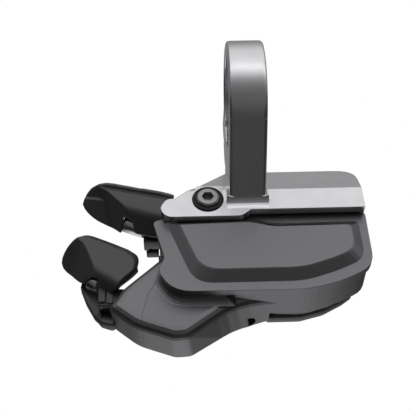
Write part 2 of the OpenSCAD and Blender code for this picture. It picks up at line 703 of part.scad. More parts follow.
module upper_paddle() color([0.16, 0.16, 0.17]) {
    tilted() difference() {
        union() {
            leaning([-32, -12.6, -15.2], -8, 42)
                thumb_plate(upper_plate, [2, 1.6, 1.6, 0.6, 0.8, 0.6]);
            hood(upper_hood_top, upper_hood_base, [0.6, 1, 1, 0.8, 0.8], rim_w, -22.4);
        }
        post_bore(upper_post, upper_post_turn);
        slab([[-26.2, -26], [-17, -26], [-17, -16.4], [-24, -16.4]], -30, -21.4);
        screw_way(upper_screw);
    }
}

module upper_paddle_screw() color("silver") {
    tilted() translate(upper_screw) small_screw(0.9, 5.2, 1.5);
}

lower_plate = [[0.4, 2.2], [-1.7, 0.6], [-3.3, -5.8], [-0.9, -8.1], [4.4, -8.6], [4.8, -4.6], [6, 0.4]];
lower_hood_top = [[-40.2, -26.2], [-34.6, -37.3], [-31.7, -39], [-25.2, -34.2], [-25.6, -32], [-37.8, -25]];
lower_hood_base = [[-39, -28], [-35.5, -36.6], [-32.9, -38.2], [-27.2, -33.8], [-27, -32.2], [-37.4, -27]];

module lower_paddle() color([0.16, 0.16, 0.17]) {
    tilted() difference() {
        union() {
            leaning([-40, -27.5, -19], -30, 40)
                thumb_plate(lower_plate, [0.5, 0.6, 0.8, 0.8, 0.6, 0.6, 1]);
            hood(lower_hood_top, lower_hood_base, [0.8, 1, 1.2, 0.7, 0.6, 0.7], -18.2, -24.2);
        }
        post_bore(lower_post, lower_post_turn);
        slab([[-36, -43], [-30, -43], [-30, -36.6], [-33.6, -36.6]], -27, -20.6);
        screw_way(lower_screw);
    }
}

module lower_paddle_screw() color("silver") {
    tilted() translate(lower_screw) small_screw(0.9, 5.2, 1.5);
}

clamp_bracket();
pinch_bolt();
bracket_bolt();
bracket_nut();
top_cover();
cover_gasket();
lower_shell();
nose_cap();
nose_cap_screw();
cover_screws();
circuit_board();
upper_switch();
lower_switch();
battery_door();
battery_door_screw();
battery_seal();
battery_cell();
battery_contact();
upper_pivot_pin();
upper_lever();
upper_return_spring();
upper_paddle();
upper_paddle_screw();
lower_pivot_pin();
lower_lever();
lower_return_spring();
lower_paddle();
lower_paddle_screw();
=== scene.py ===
"""Bicycle shifter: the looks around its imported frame.

Lengths in the shape functions are millimetres in the cover's tilted frame: u along the handlebar,
v to the rear and w out of the cover. place() turns them into metres in the frame of the CAD.
"""

import json
import math

import bmesh
import bpy
import numpy as np
from bpy.props import FloatProperty, FloatVectorProperty, PointerProperty
from mathutils import Matrix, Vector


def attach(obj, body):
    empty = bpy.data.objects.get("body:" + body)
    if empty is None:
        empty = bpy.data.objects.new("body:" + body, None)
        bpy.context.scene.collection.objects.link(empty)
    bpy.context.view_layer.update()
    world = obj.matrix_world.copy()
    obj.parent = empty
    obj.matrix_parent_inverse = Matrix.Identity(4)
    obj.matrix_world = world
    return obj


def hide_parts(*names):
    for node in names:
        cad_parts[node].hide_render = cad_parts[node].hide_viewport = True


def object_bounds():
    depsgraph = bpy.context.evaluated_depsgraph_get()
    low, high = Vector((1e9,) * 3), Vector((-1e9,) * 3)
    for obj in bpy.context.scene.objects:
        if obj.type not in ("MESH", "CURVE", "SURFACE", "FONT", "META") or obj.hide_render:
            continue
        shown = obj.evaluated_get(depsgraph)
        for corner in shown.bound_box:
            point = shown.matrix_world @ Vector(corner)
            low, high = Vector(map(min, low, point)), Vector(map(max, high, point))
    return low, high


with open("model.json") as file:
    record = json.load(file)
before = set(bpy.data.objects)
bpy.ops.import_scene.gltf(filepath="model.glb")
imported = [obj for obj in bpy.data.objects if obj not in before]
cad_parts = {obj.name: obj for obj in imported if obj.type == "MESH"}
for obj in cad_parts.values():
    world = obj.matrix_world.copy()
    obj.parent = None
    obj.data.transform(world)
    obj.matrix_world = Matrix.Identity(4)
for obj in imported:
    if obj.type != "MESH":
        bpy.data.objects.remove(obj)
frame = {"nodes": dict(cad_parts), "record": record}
CAD_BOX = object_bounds()
NODES = frame["nodes"]

bl_info = {
    "name": "Bicycle Shifter",
    "version": (1, 0, 0),
    "blender": (4, 5, 0),
    "location": "View3D > Sidebar > Shifter",
    "description": "Builds the visible pieces of a two-paddle electronic bicycle shifter",
    "category": "Mesh",
}

MM = 0.001
COVER_TILT = math.radians(25)
HOUSING = "housing"
UPPER = "upper_paddle_lever"
LOWER = "lower_paddle_lever"


# Materials

class Signal:
    """A shader socket that takes part in Python arithmetic; each operation adds its Math node."""

    def __init__(self, graph, socket):
        self.graph = graph
        self.socket = socket

    def math(self, operation, *others):
        inputs = dict(enumerate((self, *others)))
        return self.graph.node("ShaderNodeMath", {"operation": operation}, inputs)

    def __add__(self, other):
        return self.math("ADD", other)

    def __mul__(self, other):
        return self.math("MULTIPLY", other)

    def __sub__(self, other):
        return self.math("SUBTRACT", other)

    def __rsub__(self, other):
        return (self * -1) + other

    def __neg__(self):
        return self * -1

    def limited(self):
        """Held between 0 and 1."""
        return self.graph.node("ShaderNodeClamp", {}, {"Value": self})


class Graph:
    """The node tree of one material or world, filled through node()."""

    def __init__(self, owner):
        owner.use_nodes = True
        self.tree = owner.node_tree
        self.tree.nodes.clear()

    def node(self, kind, settings=None, inputs=None, output=0):
        """Adds a node: first its settings, then the values or links of its sockets."""
        made = self.tree.nodes.new(kind)
        for name, value in (settings or {}).items():
            if name == "stops":
                self.fill_ramp(made.color_ramp, value)
            else:
                setattr(made, name, value)
        for name, value in (inputs or {}).items():
            if isinstance(value, Signal):
                self.tree.links.new(value.socket, made.inputs[name])
            else:
                made.inputs[name].default_value = value
        return Signal(self, made.outputs[output]) if made.outputs else None

    @staticmethod
    def fill_ramp(ramp, stops):
        """Gives a colour ramp its stops of position and grey."""
        while len(ramp.elements) < len(stops):
            ramp.elements.new(1.0)
        for element, (position, value) in zip(ramp.elements, stops):
            element.position = position
            element.color = (value, value, value, 1.0)

    def millimetres(self, scale=(1, 1, 1)):
        """Object coordinates in millimetres, stretched by a Mapping node."""
        spot = self.node("ShaderNodeTexCoord", output="Object")
        stretch = tuple(part / MM for part in scale)
        return self.node("ShaderNodeMapping", {}, {"Vector": spot, "Scale": stretch})

    def noise(self, vector, per_mm, detail=3.0, roughness=0.55):
        """Cloudy noise between 0 and 1 with so many features a millimetre."""
        return self.node("ShaderNodeTexNoise", {}, {"Vector": vector, "Scale": per_mm,
                                                    "Detail": detail, "Roughness": roughness})

    def ramp(self, value, stops):
        """Grey by value, straight between its stops of position and grey."""
        return self.node("ShaderNodeValToRGB", {"stops": stops}, {"Fac": value})

    def mixed(self, factor, first, second):
        """Colour between two colours or signals."""
        return self.node("ShaderNodeMix", {"data_type": "RGBA"}, {0: factor, 6: first, 7: second}, 2)

    def bump(self, height, strength, distance_mm, normal=None):
        """Normal of a surface raised by a height, on top of another normal where one is given."""
        inputs = {"Height": height, "Strength": strength, "Distance": distance_mm * MM}
        if normal is not None:
            inputs["Normal"] = normal
        return self.node("ShaderNodeBump", {}, inputs)

    def soft_edges(self, radius_mm):
        """Normals that round the sharp edges of a CAD solid by a small radius."""
        return self.node("ShaderNodeBevel", {"samples": 6}, {"Radius": radius_mm * MM})

    def surface(self, inputs):
        """Ends the material in one principled shader."""
        shader = self.node("ShaderNodeBsdfPrincipled", {}, inputs)
        self.node("ShaderNodeOutputMaterial", {}, {"Surface": shader})


def grey(value, blue=0.0):
    """Opaque grey, with its blue raised by a share."""
    return (value, value, value * (1 + blue), 1.0)


def new_graph(name):
    """A new material and its empty node tree."""
    material = bpy.data.materials.new(name)
    return material, Graph(material)


def painted_housing(name, tone, edge_mm):
    """Satin dark grey paint with fine metal flake, a little orange peel and soft edges."""
    material, graph = new_graph(name)
    spot = graph.millimetres()
    flake = graph.noise(spot, per_mm=9.0, detail=2.0)
    cloud = graph.noise(spot, per_mm=0.09, detail=2.0)
    shade = flake * 0.35 + cloud * 0.25 + 0.7
    colour = graph.mixed(shade.limited(), grey(tone * 0.7, 0.04), grey(tone * 1.08, 0.05))
    peel = graph.noise(spot, per_mm=2.2, detail=2.0)
    edges = graph.soft_edges(edge_mm)
    normal = graph.bump(flake * 0.6 + peel, strength=0.12, distance_mm=0.02, normal=edges)
    graph.surface({"Base Color": colour, "Metallic": 0.82, "Roughness": flake * 0.12 + 0.33,
                   "Normal": normal})
    return material


def forged_aluminium(name, edge_mm):
    """Polished forged aluminium under clear anodising, with faint lines along the bar."""
    material, graph = new_graph(name)
    spot = graph.millimetres()
    lines = graph.noise(graph.millimetres((0.25, 6.0, 6.0)), per_mm=1.6, detail=4.0)
    cloud = graph.noise(spot, per_mm=0.18, detail=2.0)
    colour = graph.mixed((cloud * 1.2 - 0.1).limited(), grey(0.56, 0.03), grey(0.66, 0.03))
    edges = graph.soft_edges(edge_mm)
    normal = graph.bump(lines * 0.5 + cloud, strength=0.10, distance_mm=0.02, normal=edges)
    graph.surface({"Base Color": colour, "Metallic": 1.0, "Roughness": lines * 0.10 + 0.17,
                   "Normal": normal})
    return material


def grained_plastic(name, tone, rough, grain_mm, depth, edge_mm):
    """Moulded plastic with a fine spark-eroded grain."""
    material, graph = new_graph(name)
    spot = graph.millimetres()
    grain = graph.noise(spot, per_mm=1 / grain_mm, detail=3.0, roughness=0.6)
    cloud = graph.noise(spot, per_mm=0.12, detail=2.0)
    colour = graph.mixed(cloud, grey(tone * 0.85), grey(tone * 1.15))
    edges = graph.soft_edges(edge_mm)
    normal = graph.bump(grain, strength=depth, distance_mm=0.03, normal=edges)
    graph.surface({"Base Color": colour, "Roughness": grain * 0.16 + (rough - 0.08),
                   "Normal": normal})
    return material


def smooth_plastic(name, tone, edge_mm):
    """Smooth black plastic with faint moulding waves."""
    material, graph = new_graph(name)
    wave = graph.noise(graph.millimetres(), per_mm=0.5, detail=2.0)
    colour = graph.mixed(wave, grey(tone * 0.8), grey(tone * 1.2))
    edges = graph.soft_edges(edge_mm)
    normal = graph.bump(wave, strength=0.06, distance_mm=0.05, normal=edges)
    graph.surface({"Base Color": colour, "Roughness": wave * 0.08 + 0.28, "Normal": normal})
    return material


def turned_metal(name, colour_low, colour_high, rough, edge_mm):
    """Turned or drawn metal with a fine directional grain."""
    material, graph = new_graph(name)
    grain = graph.noise(graph.millimetres((1.0, 1.0, 0.2)), per_mm=8.0, detail=3.0)
    colour = graph.mixed(grain, colour_low, colour_high)
    edges = graph.soft_edges(edge_mm)
    normal = graph.bump(grain, strength=0.08, distance_mm=0.01, normal=edges)
    graph.surface({"Base Color": colour, "Metallic": 1.0, "Roughness": grain * 0.12 + (rough - 0.06),
                   "Normal": normal})
    return material


def solder_mask(name):
    """Green circuit board with paler tracks under the lacquer."""
    material, graph = new_graph(name)
    spot = graph.millimetres()
    tracks = graph.node("ShaderNodeTexVoronoi", {"feature": "DISTANCE_TO_EDGE"},
                        {"Vector": spot, "Scale": 0.7})
    mask = ((tracks - 0.12) * 12.0).limited()
    colour = graph.mixed(mask, (0.03, 0.16, 0.08, 1.0), (0.012, 0.07, 0.035, 1.0))
    normal = graph.bump(mask, strength=0.2, distance_mm=0.03)
    graph.surface({"Base Color": colour, "Roughness": mask * 0.1 + 0.28, "Normal": normal})
    return material


FINISHES = {}


def make_finishes(look):
    """Makes each material slot's finish; edges are radii in millimetres."""
    FINISHES.update({
        "forged_aluminium": forged_aluminium("forged_aluminium", edge_mm=0.25),
        "bolt_steel": turned_metal("bolt_steel", grey(0.24), grey(0.34), rough=0.3, edge_mm=0.08),
        "pin_steel": turned_metal("pin_steel", grey(0.5), grey(0.62), rough=0.14, edge_mm=0.05),
        "brass": turned_metal("brass", (0.62, 0.44, 0.19, 1), (0.78, 0.6, 0.3, 1), rough=0.3, edge_mm=0.05),
        "cover_paint": painted_housing("cover_paint", look.cover_tone, edge_mm=0.2),
        "shell_paint": painted_housing("shell_paint", look.shell_tone, edge_mm=0.2),
        "door_plastic": grained_plastic("door_plastic", tone=0.11, rough=0.36, grain_mm=0.18,
                                        depth=0.10, edge_mm=0.2),
        "paddle_plastic": grained_plastic("paddle_plastic", look.paddle_tone, rough=0.36, grain_mm=0.14,
                                          depth=0.12, edge_mm=0.12),
        "lever_plastic": smooth_plastic("lever_plastic", tone=0.025, edge_mm=0.1),
        "seal_rubber": grained_plastic("seal_rubber", tone=0.02, rough=0.75, grain_mm=0.2,
                                       depth=0.2, edge_mm=0.05),
        "board": solder_mask("board"),
        "switch_plastic": grained_plastic("switch_plastic", tone=0.05, rough=0.5, grain_mm=0.2,
                                          depth=0.1, edge_mm=0.05),
        "cell_steel": turned_metal("cell_steel", grey(0.6), grey(0.74), rough=0.25, edge_mm=0.1),
    })


def dress(node, slot):
    """Gives a CAD node the finish of its slot."""
    mesh = NODES[node].data
    mesh.materials.clear()
    mesh.materials.append(FINISHES[slot])


# Shapes

BEND_POINTS = 5
BLOCK_EDGE_STEPS = 4
ROD_EDGE_STEPS = 7
ROD_SIDES = 48
RING_SIDES = 64
SHORTEST_SQUARED = 1e-12
MERGE_DISTANCE = 1e-7


def place(points):
    """Tilted millimetres to metres of the frame: v and w turned about the bar by the cover's tilt."""
    u, v, w = np.moveaxis(np.asarray(points, float), -1, 0)
    cos, sin = math.cos(COVER_TILT), math.sin(COVER_TILT)
    return np.stack([u, v * cos - w * sin, v * sin + w * cos], -1) * MM


def soft_least(values, radius):
    """Smooth minimum: minus r times the logarithm of the sum of exp(-value / r)."""
    return -radius * np.log(sum(np.exp(-np.asarray(value) / radius) for value in values))


def soft_most(values, radius):
    """Smooth maximum, the smooth minimum's mirror."""
    return -soft_least([-np.asarray(value) for value in values], radius)


def smooth_step(t):
    """0 before 0, 1 after 1 and the cubic 3 t^2 - 2 t^3 between them."""
    t = np.clip(t, 0, 1)
    return t * t * (3 - 2 * t)


def matched_rails(pairs, count, blur):
    """Top and bottom rail through paired points, evenly spaced and softened by a raised cosine."""
    pairs = np.array(pairs, float)
    steps = np.abs(np.diff(pairs, axis=0)).max(1)
    run = np.concatenate([[0], np.cumsum(steps)])
    even = np.linspace(0, run[-1], count)
    rails = np.stack([np.interp(even, run, column) for column in pairs.T], 1)
    kernel = np.hanning(2 * blur + 3)
    kernel /= kernel.sum()
    pad = len(kernel) // 2
    before = 2 * rails[0] - rails[pad:0:-1]
    after = 2 * rails[-1] - rails[-2:-pad - 2:-1]
    extended = np.concatenate([before, rails, after])
    soft = np.stack([np.convolve(column, kernel, "valid") for column in extended.T], 1)
    return soft[:, :2], soft[:, 2:]


def edge_distance(points, outline):
    """Distance of each point from a closed outline, the least over its segments."""
    start = outline
    run = np.roll(outline, -1, axis=0) - start
    offset = points[..., None, :] - start
    share = (offset * run).sum(-1) / np.maximum((run * run).sum(-1), SHORTEST_SQUARED)
    gap = offset - np.clip(share, 0, 1)[..., None] * run
    return np.sqrt((gap * gap).sum(-1)).min(-1)


def grid_faces(rows, columns, start=0):
    """Quads of an open grid whose vertices are counted row by row."""
    row, column = np.meshgrid(np.arange(rows - 1), np.arange(columns - 1), indexing="ij")
    corner = start + row * columns + column
    return np.stack([corner, corner + 1, corner + columns + 1, corner + columns], -1).reshape(-1, 4)


def rim(rows, columns):
    """Vertex numbers round the edge of a grid, in one direction."""
    grid = np.arange(rows * columns).reshape(rows, columns)
    return np.concatenate([grid[0, :-1], grid[:-1, -1], grid[-1, :0:-1], grid[:0:-1, 0]])


def two_sided(front, back):
    """A closed solid from a front and a back grid that are joined round their edges."""
    rows, columns = front.shape[:2]
    edge = rim(rows, columns)
    after = np.roll(edge, -1)
    total = rows * columns
    wall = np.stack([edge, edge + total, after + total, after], 1)
    faces = np.concatenate([grid_faces(rows, columns)[:, ::-1],
                            grid_faces(rows, columns, total), wall[:, ::-1]])
    return np.concatenate([front.reshape(-1, 3), back.reshape(-1, 3)]), faces.tolist()


def soft_outline(corners, cut):
    """Outline whose corners are quadratic curves that leave each side at the cut length."""
    corners = np.array(corners, float)
    before = np.roll(corners, 1, axis=0) - corners
    after = np.roll(corners, -1, axis=0) - corners
    start = corners + cut * before / np.linalg.norm(before, axis=1)[:, None]
    end = corners + cut * after / np.linalg.norm(after, axis=1)[:, None]
    t = np.linspace(0, 1, BEND_POINTS)[None, :, None]
    curve = (1 - t) ** 2 * start[:, None] + 2 * t * (1 - t) * corners[:, None] + t * t * end[:, None]
    return curve.reshape(-1, 2)


def grown(outline, by):
    """Outline moved outwards along the mitre of its neighbouring sides, for anticlockwise corners."""
    run = np.roll(outline, -1, axis=0) - outline
    run /= np.linalg.norm(run, axis=1)[:, None]
    normal = np.stack([run[:, 1], -run[:, 0]], 1)
    other = np.roll(normal, 1, axis=0)
    return outline + by * (normal + other) / (1 + (normal * other).sum(1))[:, None]


def spun(profile, sides):
    """A profile of radius and height carried round the upright axis; a grid of rings."""
    turn = np.arange(sides) * 2 * math.pi / sides
    ring = np.stack([np.cos(turn), np.sin(turn), np.zeros(sides)], 1)
    return profile[:, None, :1] * ring + profile[:, None, 1:] * np.array([0, 0, 1.0])


def ring_faces(rows, sides):
    """Quads between neighbouring rings of a grid with closed rows."""
    row, side = np.meshgrid(np.arange(rows - 1), np.arange(sides), indexing="ij")
    after = (side + 1) % sides
    quads = [row * sides + side, row * sides + after, (row + 1) * sides + after, (row + 1) * sides + side]
    return np.stack(quads, -1).reshape(-1, 4)


def ring_stack(rings):
    """A closed solid through rings of equal count, with a flat cap at either end."""
    rows, sides = rings.shape[:2]
    caps = [list(range(sides))[::-1], list(range((rows - 1) * sides, rows * sides))]
    return rings.reshape(-1, 3), ring_faces(rows, sides).tolist() + caps


def rounded_block(corners, cut, low, high, edge):
    """An outline raised from low to high, its two edges rounded by quarter circles."""
    outline = soft_outline(corners, cut)
    turn = np.linspace(0, math.pi / 2, BLOCK_EDGE_STEPS)
    inset = np.concatenate([1 - np.sin(turn), (1 - np.sin(turn))[::-1]]) * edge
    level = np.concatenate([low + edge * (1 - np.cos(turn)), high - edge * (1 - np.cos(turn))[::-1]])
    rings = [np.concatenate([grown(outline, -by), np.full((len(outline), 1), at)], 1)
             for by, at in zip(inset, level)]
    points, faces = ring_stack(np.stack(rings))
    return place(points), faces


def rounded_rod(start, axis, radius, length, edge):
    """A circle carried along an axis, its far end rounded by a quarter circle."""
    axis = np.array(axis, float) / np.linalg.norm(axis)
    side = np.cross(axis, [0, 0, 1.0]) if abs(axis[2]) < 0.9 else np.array([1.0, 0, 0])
    side /= np.linalg.norm(side)
    up = np.cross(axis, side)
    turn = np.linspace(0, math.pi / 2, ROD_EDGE_STEPS)
    run = np.concatenate([[0], length - edge + edge * np.sin(turn)])
    reach = np.concatenate([[radius], radius - edge * (1 - np.cos(turn))])
    around = np.arange(ROD_SIDES) * 2 * math.pi / ROD_SIDES
    circle = np.cos(around)[:, None] * side + np.sin(around)[:, None] * up
    rings = np.array(start, float) + run[:, None, None] * axis + reach[:, None, None] * circle[None]
    points, faces = ring_stack(rings)
    return place(points), faces


def add_piece(name, parts, finish, body, replaced=()):
    """Joins closed meshes into one object, merges their doubled points and puts it on its body."""
    shift = np.cumsum([0] + [len(points) for points, _ in parts[:-1]]).tolist()
    points = np.concatenate([points for points, _ in parts])
    faces = [[corner + start for corner in face]
             for (_, part_faces), start in zip(parts, shift) for face in part_faces]
    mesh = bpy.data.meshes.new(name)
    mesh.from_pydata(points.tolist(), [], faces)
    shape = bmesh.new()
    shape.from_mesh(mesh)
    bmesh.ops.remove_doubles(shape, verts=shape.verts, dist=MERGE_DISTANCE)
    bmesh.ops.recalc_face_normals(shape, faces=shape.faces)
    shape.to_mesh(mesh)
    shape.free()
    mesh.polygons.foreach_set("use_smooth", np.ones(len(mesh.polygons), bool))
    mesh.materials.append(FINISHES[finish])
    piece = bpy.data.objects.new(name, mesh)
    bpy.context.collection.objects.link(piece)
    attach(piece, body)
    if replaced:
        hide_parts(*replaced)


# Paddles

class LeaningPlate:
    """Coordinates over a leaning plate: x runs along it, y up its face and z out of the face."""

    def __init__(self, origin, turn, lean):
        turn, lean = math.radians(turn), math.radians(lean)
        along = np.array([math.cos(turn), math.sin(turn), 0])
        rise = np.array([-math.sin(turn) * math.sin(lean), math.cos(turn) * math.sin(lean), math.cos(lean)])
        self.origin = np.array(origin, float)
        self.axes = np.stack([along, rise, np.cross(along, rise)])

    def height(self, x, y, point, normal):
        """Height above the plate of the plane through a tilted point, square to its normal."""
        reach = np.dot(normal, np.array(point) - self.origin)
        slope_x, slope_y, share = self.axes @ np.array(normal)
        return (reach - x * slope_x - y * slope_y) / share

    def tilted(self, x, y, z):
        """Tilted point at plate coordinates."""
        return self.origin + np.stack([x, y, z], -1) @ self.axes


def paddle_skin(plate, pairs, surface, lip, thickness):
    """A shell over a plate: heights by surface(x, y), rounded round its edge by a quarter circle.

    The rails are joined by straight lines whose points crowd towards the rails as a half cosine.
    """
    top, bottom = matched_rails(pairs, PADDLE_COLUMNS, RAIL_BLUR)
    share = (1 - np.cos(np.linspace(0, math.pi, PADDLE_ROWS))) / 2
    flat = top[None] + share[:, None, None] * (bottom - top)[None]
    outline = np.concatenate([top, bottom[::-1]])
    inside = np.minimum(edge_distance(flat, outline), lip)
    drop = lip - np.sqrt(np.maximum(lip * lip - (lip - inside) ** 2, 0))
    x, y = flat[..., 0], flat[..., 1]
    height = surface(x, y)
    front = plate.tilted(x, y, height - drop)
    back = plate.tilted(x, y, height - thickness + drop)
    return two_sided(place(front), place(back))


# Points along and across a paddle, and how many neighbours on each side soften a rail's point
PADDLE_COLUMNS = 190
PADDLE_ROWS = 90
RAIL_BLUR = 3
UPPER_PLATE = LeaningPlate((-32, -12.6, -15.2), -8, 42)
LOWER_PLATE = LeaningPlate((-40, -27.5, -19), -30, 40)

# Rails of the paddles as top x, top y, bottom x and bottom y, from the tip to the housing
UPPER_RAILS = [
    (-7.15, -5.3, -7.15, -5.3), (-6.85, -4.0, -6.6, -6.4), (-6.3, -2.6, -5.6, -7.5),
    (-5.3, -1.2, -4.3, -8.5), (-3.8, -0.2, -2.8, -9.3), (-2.0, 0.25, -1.0, -10.0),
    (0.0, 0.25, 1.2, -10.75), (1.4, 0.1, 2.6, -11.3), (2.0, 0.05, 3.0, -11.2),
    (2.4, 0, 3.1, -10.2), (2.8, 0, 3.15, -9.0), (3.3, -0.05, 3.5, -7.3), (4.0, -0.1, 4.3, -7.0),
    (5.0, -0.2, 5.4, -7.4), (5.6, -0.25, 6.15, -8.6), (6.0, -0.3, 6.35, -10.2),
    (6.4, -0.35, 6.7, -10.75), (7.4, -0.3, 7.4, -10.9), (11.4, -0.6, 10.8, -11.2),
    (14.2, -1.0, 13.2, -11.0), (15.0, -1.3, 13.75, -10.6)]
LOWER_RAILS = [
    (-2.85, -4.6, -2.85, -4.6), (-2.7, -3.0, -2.65, -5.9), (-2.3, -1.4, -1.8, -7.0),
    (-1.6, 0.25, -0.6, -7.55), (-0.8, 1.5, 0.8, -7.8), (0.2, 2.1, 2.2, -7.9), (1.6, 2.3, 3.5, -7.85),
    (2.8, 2.32, 4.6, -7.7), (3.8, 2.33, 5.3, -7.3), (4.8, 2.34, 5.8, -6.2), (5.9, 2.35, 6.4, -5.2),
    (7.2, 2.35, 7.4, -4.5), (8.3, 2.34, 8.6, -4.2), (9.2, 2.33, 8.8, -4.8), (10.0, 2.32, 8.55, -6.0),
    (10.4, 2.31, 8.4, -7.2), (10.7, 2.3, 8.8, -7.6), (11.1, 2.25, 9.8, -7.6), (11.7, 2.15, 11.6, -7.75),
    (12.2, 2.1, 12.5, -7.1), (13.0, 1.95, 13.5, -5.7), (13.7, 1.65, 14.3, -4.0),
    (14.4, 1.1, 14.9, -2.6), (15.0, 0.2, 15.25, -1.5), (15.2, -0.5, 15.3, -1.0)]

# Faces of the hoods as a point on each and the direction that it looks in
UPPER_HOOD = {
    "top": ((-30, -15, -15.25), (0, 0, 1)),
    "front": ((-26.4, -22, -18.2), (-0.3, -0.85, 0.43)),
    "left": ((-30, -17.9, -15.2), (-0.699, -0.628, 0.342)),
    "rear": ((-25.2, -16.15, -15.2), (0.125, 0.484, 0.866)),
}
LOWER_RIDGE = (-36.6, -31.8, -18.2)
LOWER_HOOD = {
    "top": (LOWER_RIDGE, (0.11, 0, 0.99)),
    "front": ((-34.6, -37.3, -21), (-0.45, -0.81, 0.37)),
    "right": ((-26.3, -34.6, -20.5), (0.72, -0.66, 0.22)),
    "left": (LOWER_RIDGE, (-0.75, -0.33, 0.574)),
}
LOWER_PAD_END = (LOWER_RIDGE, (0.457, 0.201, 0.866))

# Radii in which the faces run into each other: over the hood's front, at its ridges and at its foot
UPPER_ROLL = 0.9
UPPER_RIDGES = 0.13
UPPER_VALLEY = 0.25
LOWER_ROLL = 1.1
LOWER_RIDGES = 0.16
LOWER_VALLEY = 0.3

# Upper pad: its end as a level line and a falling one, its step down there and the hollow behind
PAD_LEVEL_END = -4.0
PAD_FALL_START = (-0.8, -4.6)
PAD_FALL = 0.68
PAD_END_SOFTNESS = 0.4
PAD_STEP_DROP = 0.5
PAD_STEP_WIDTH = 0.8
HOLLOW_START = 0.4
HOLLOW_SLOPE = 0.14

# Lower pad's hollow as a parabola along x
LOWER_HOLLOW_CURVE = 0.012
LOWER_HOLLOW_MIDDLE = 1
LOWER_HOLLOW_DEPTH = 0.1


def hood_heights(plate, faces, x, y):
    """Height of each face of a hood above its plate, by name."""
    return {name: plate.height(x, y, *face) for name, face in faces.items()}


def upper_surface(x, y):
    """A flat lower pad, a hollow above it and the hood as the soft least of its faces.

    The pad ends at the soft least of a level line and a falling one; there it drops by a smooth
    step, and behind the step the hollow rises at an even slope.
    """
    falling_end = PAD_FALL_START[1] - PAD_FALL * (x - PAD_FALL_START[0])
    pad_end = soft_least([PAD_LEVEL_END + 0 * x, falling_end], PAD_END_SOFTNESS)
    beyond = y - pad_end
    hollow = HOLLOW_SLOPE * np.maximum(beyond - HOLLOW_START, 0)
    pad = hollow - PAD_STEP_DROP * smooth_step(beyond / PAD_STEP_WIDTH)
    faces = hood_heights(UPPER_PLATE, UPPER_HOOD, x, y)
    rolled = soft_least([faces["top"], faces["front"]], UPPER_ROLL)
    hood = soft_least([rolled, faces["left"], faces["rear"]], UPPER_RIDGES)
    return soft_most([pad, hood], UPPER_VALLEY)


def lower_surface(x, y):
    """The soft most of a pad, hollowed as a parabola, and a hood, the soft least of its faces."""
    hollow = LOWER_HOLLOW_CURVE * (x - LOWER_HOLLOW_MIDDLE) ** 2 - LOWER_HOLLOW_DEPTH
    pad = soft_least([hollow, LOWER_PLATE.height(x, y, *LOWER_PAD_END)], LOWER_VALLEY)
    faces = hood_heights(LOWER_PLATE, LOWER_HOOD, x, y)
    rolled = soft_least([faces["top"], faces["front"]], LOWER_ROLL)
    hood = soft_least([rolled, faces["left"], faces["right"]], LOWER_RIDGES)
    return soft_most([pad, hood], LOWER_VALLEY)


# Housing details

# The ring's axis as u and v, and its section as radius and w
BOLT_PLACE = (-9.3, -20.1, 0)
BOLT_RING_PROFILE = [(2.74, -13.2), (2.74, -12.1), (2.85, -12.0), (3.5, -12.0), (3.6, -12.1), (3.6, -13.2)]

# The rim's outline as u and v, the neck's inset from it, and the neck's least u, clear of the shell
DOOR_RIM_CORNERS = [(24.5, -24), (4.4, -24), (2.8, -41), (3.8, -42.6), (11.4, -42.6), (17, -41.1),
                    (21.8, -38.5), (24.5, -36.5)]
DOOR_NECK_INSET = 0.9
DOOR_NECK_LEFT = 4.7


def bolt_ring():
    """Black ring between the bracket bolt's head and its counterbore, which darkens the gap round the head:
    a profile carried round.
    """
    profile = np.array(BOLT_RING_PROFILE + BOLT_RING_PROFILE[:1])
    rings = spun(profile, RING_SIDES) + np.array(BOLT_PLACE)
    return place(rings.reshape(-1, 3)), ring_faces(*rings.shape[:2]).tolist()


def door_rim_parts():
    """Battery door's rim below the shell, and the narrower neck that leaves a groove above it."""
    neck = grown(np.array(DOOR_RIM_CORNERS, float), -DOOR_NECK_INSET)
    neck[:, 0] = np.maximum(neck[:, 0], DOOR_NECK_LEFT)
    return [rounded_block(DOOR_RIM_CORNERS, cut=0.6, low=-31.2, high=-28.8, edge=0.4),
            rounded_block(neck, cut=0.3, low=-29, high=-27.6, edge=0.1)]


# Levers

HUB = {"axis": (0, 0, 1), "radius": 3.2, "length": 3.8, "edge": 0.3}
HUB_LOW = -26.2
UPPER_PIVOT = (-14, -24.9)
LOWER_PIVOT = (-20.4, -41.2)

